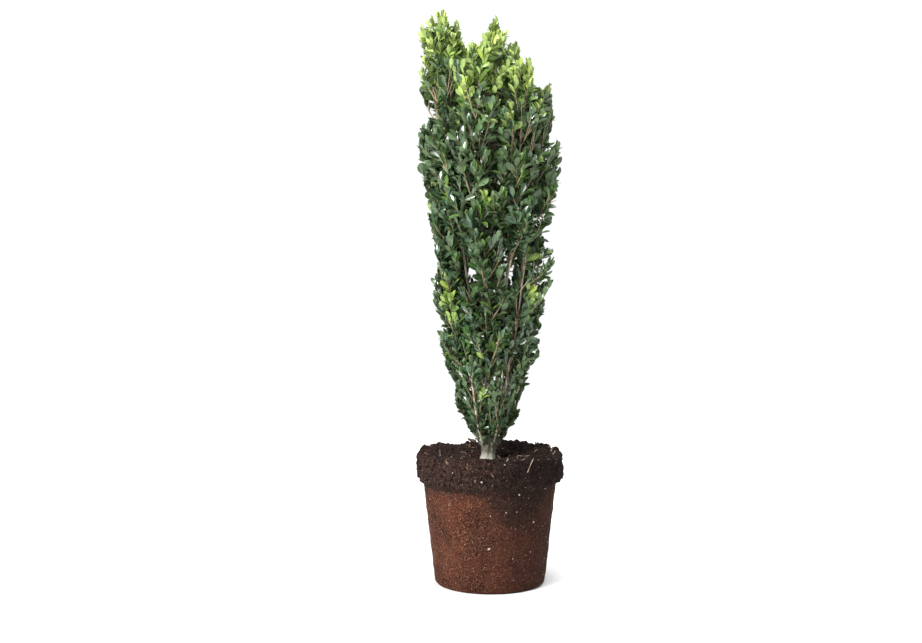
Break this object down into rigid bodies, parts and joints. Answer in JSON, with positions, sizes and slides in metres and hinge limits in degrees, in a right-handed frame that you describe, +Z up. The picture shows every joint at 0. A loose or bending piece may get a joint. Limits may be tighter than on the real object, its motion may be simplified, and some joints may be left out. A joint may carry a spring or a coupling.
{
  "type": "potted columnar holly",
  "caption": "Narrow upright evergreen shrub: a sheaf of thin stems under dense small leaves, standing on a bare root ball that keeps the shape of its nursery pot.",
  "frame": {"origin": "centre of the root ball's flat underside", "axes": "+Z up along the trunk, -Y towards the viewer of the front, +X to that viewer's right"},
  "size_m": [0.2655, 0.2658, 1.0037],
  "materials": {
    "root_ball": "matte",
    "bark": "matte",
    "foliage": "satin"
  },
  "bodies": {
    "root": {"root_ball": "root_ball", "trunk": "bark", "bough_middle_1": "bark", "bough_middle_2": "bark", "bough_middle_3": "bark", "bough_middle_4": "bark", "bough_middle_5": "bark", "bough_middle_6": "bark", "bough_high_left": "bark", "bough_high_left_front": "bark", "bough_high_front": "bark", "bough_high_right_front": "bark", "bough_high_right": "bark", "bough_high_right_back": "bark", "bough_high_back": "bark", "bough_high_centre": "bark", "foliage_low_1": "foliage", "foliage_low_2": "foliage", "foliage_low_3": "foliage", "foliage_low_4": "foliage", "foliage_low_5": "foliage", "foliage_low_6": "foliage", "foliage_middle_1": "foliage", "foliage_middle_2": "foliage", "foliage_middle_3": "foliage", "foliage_middle_4": "foliage", "foliage_middle_5": "foliage", "foliage_middle_6": "foliage", "foliage_high_left": "foliage", "foliage_high_left_front": "foliage", "foliage_high_front": "foliage", "foliage_high_right_front": "foliage", "foliage_high_right": "foliage", "foliage_high_right_back": "foliage", "foliage_high_back": "foliage", "foliage_high_centre": "foliage"}
  },
  "joints": []
}
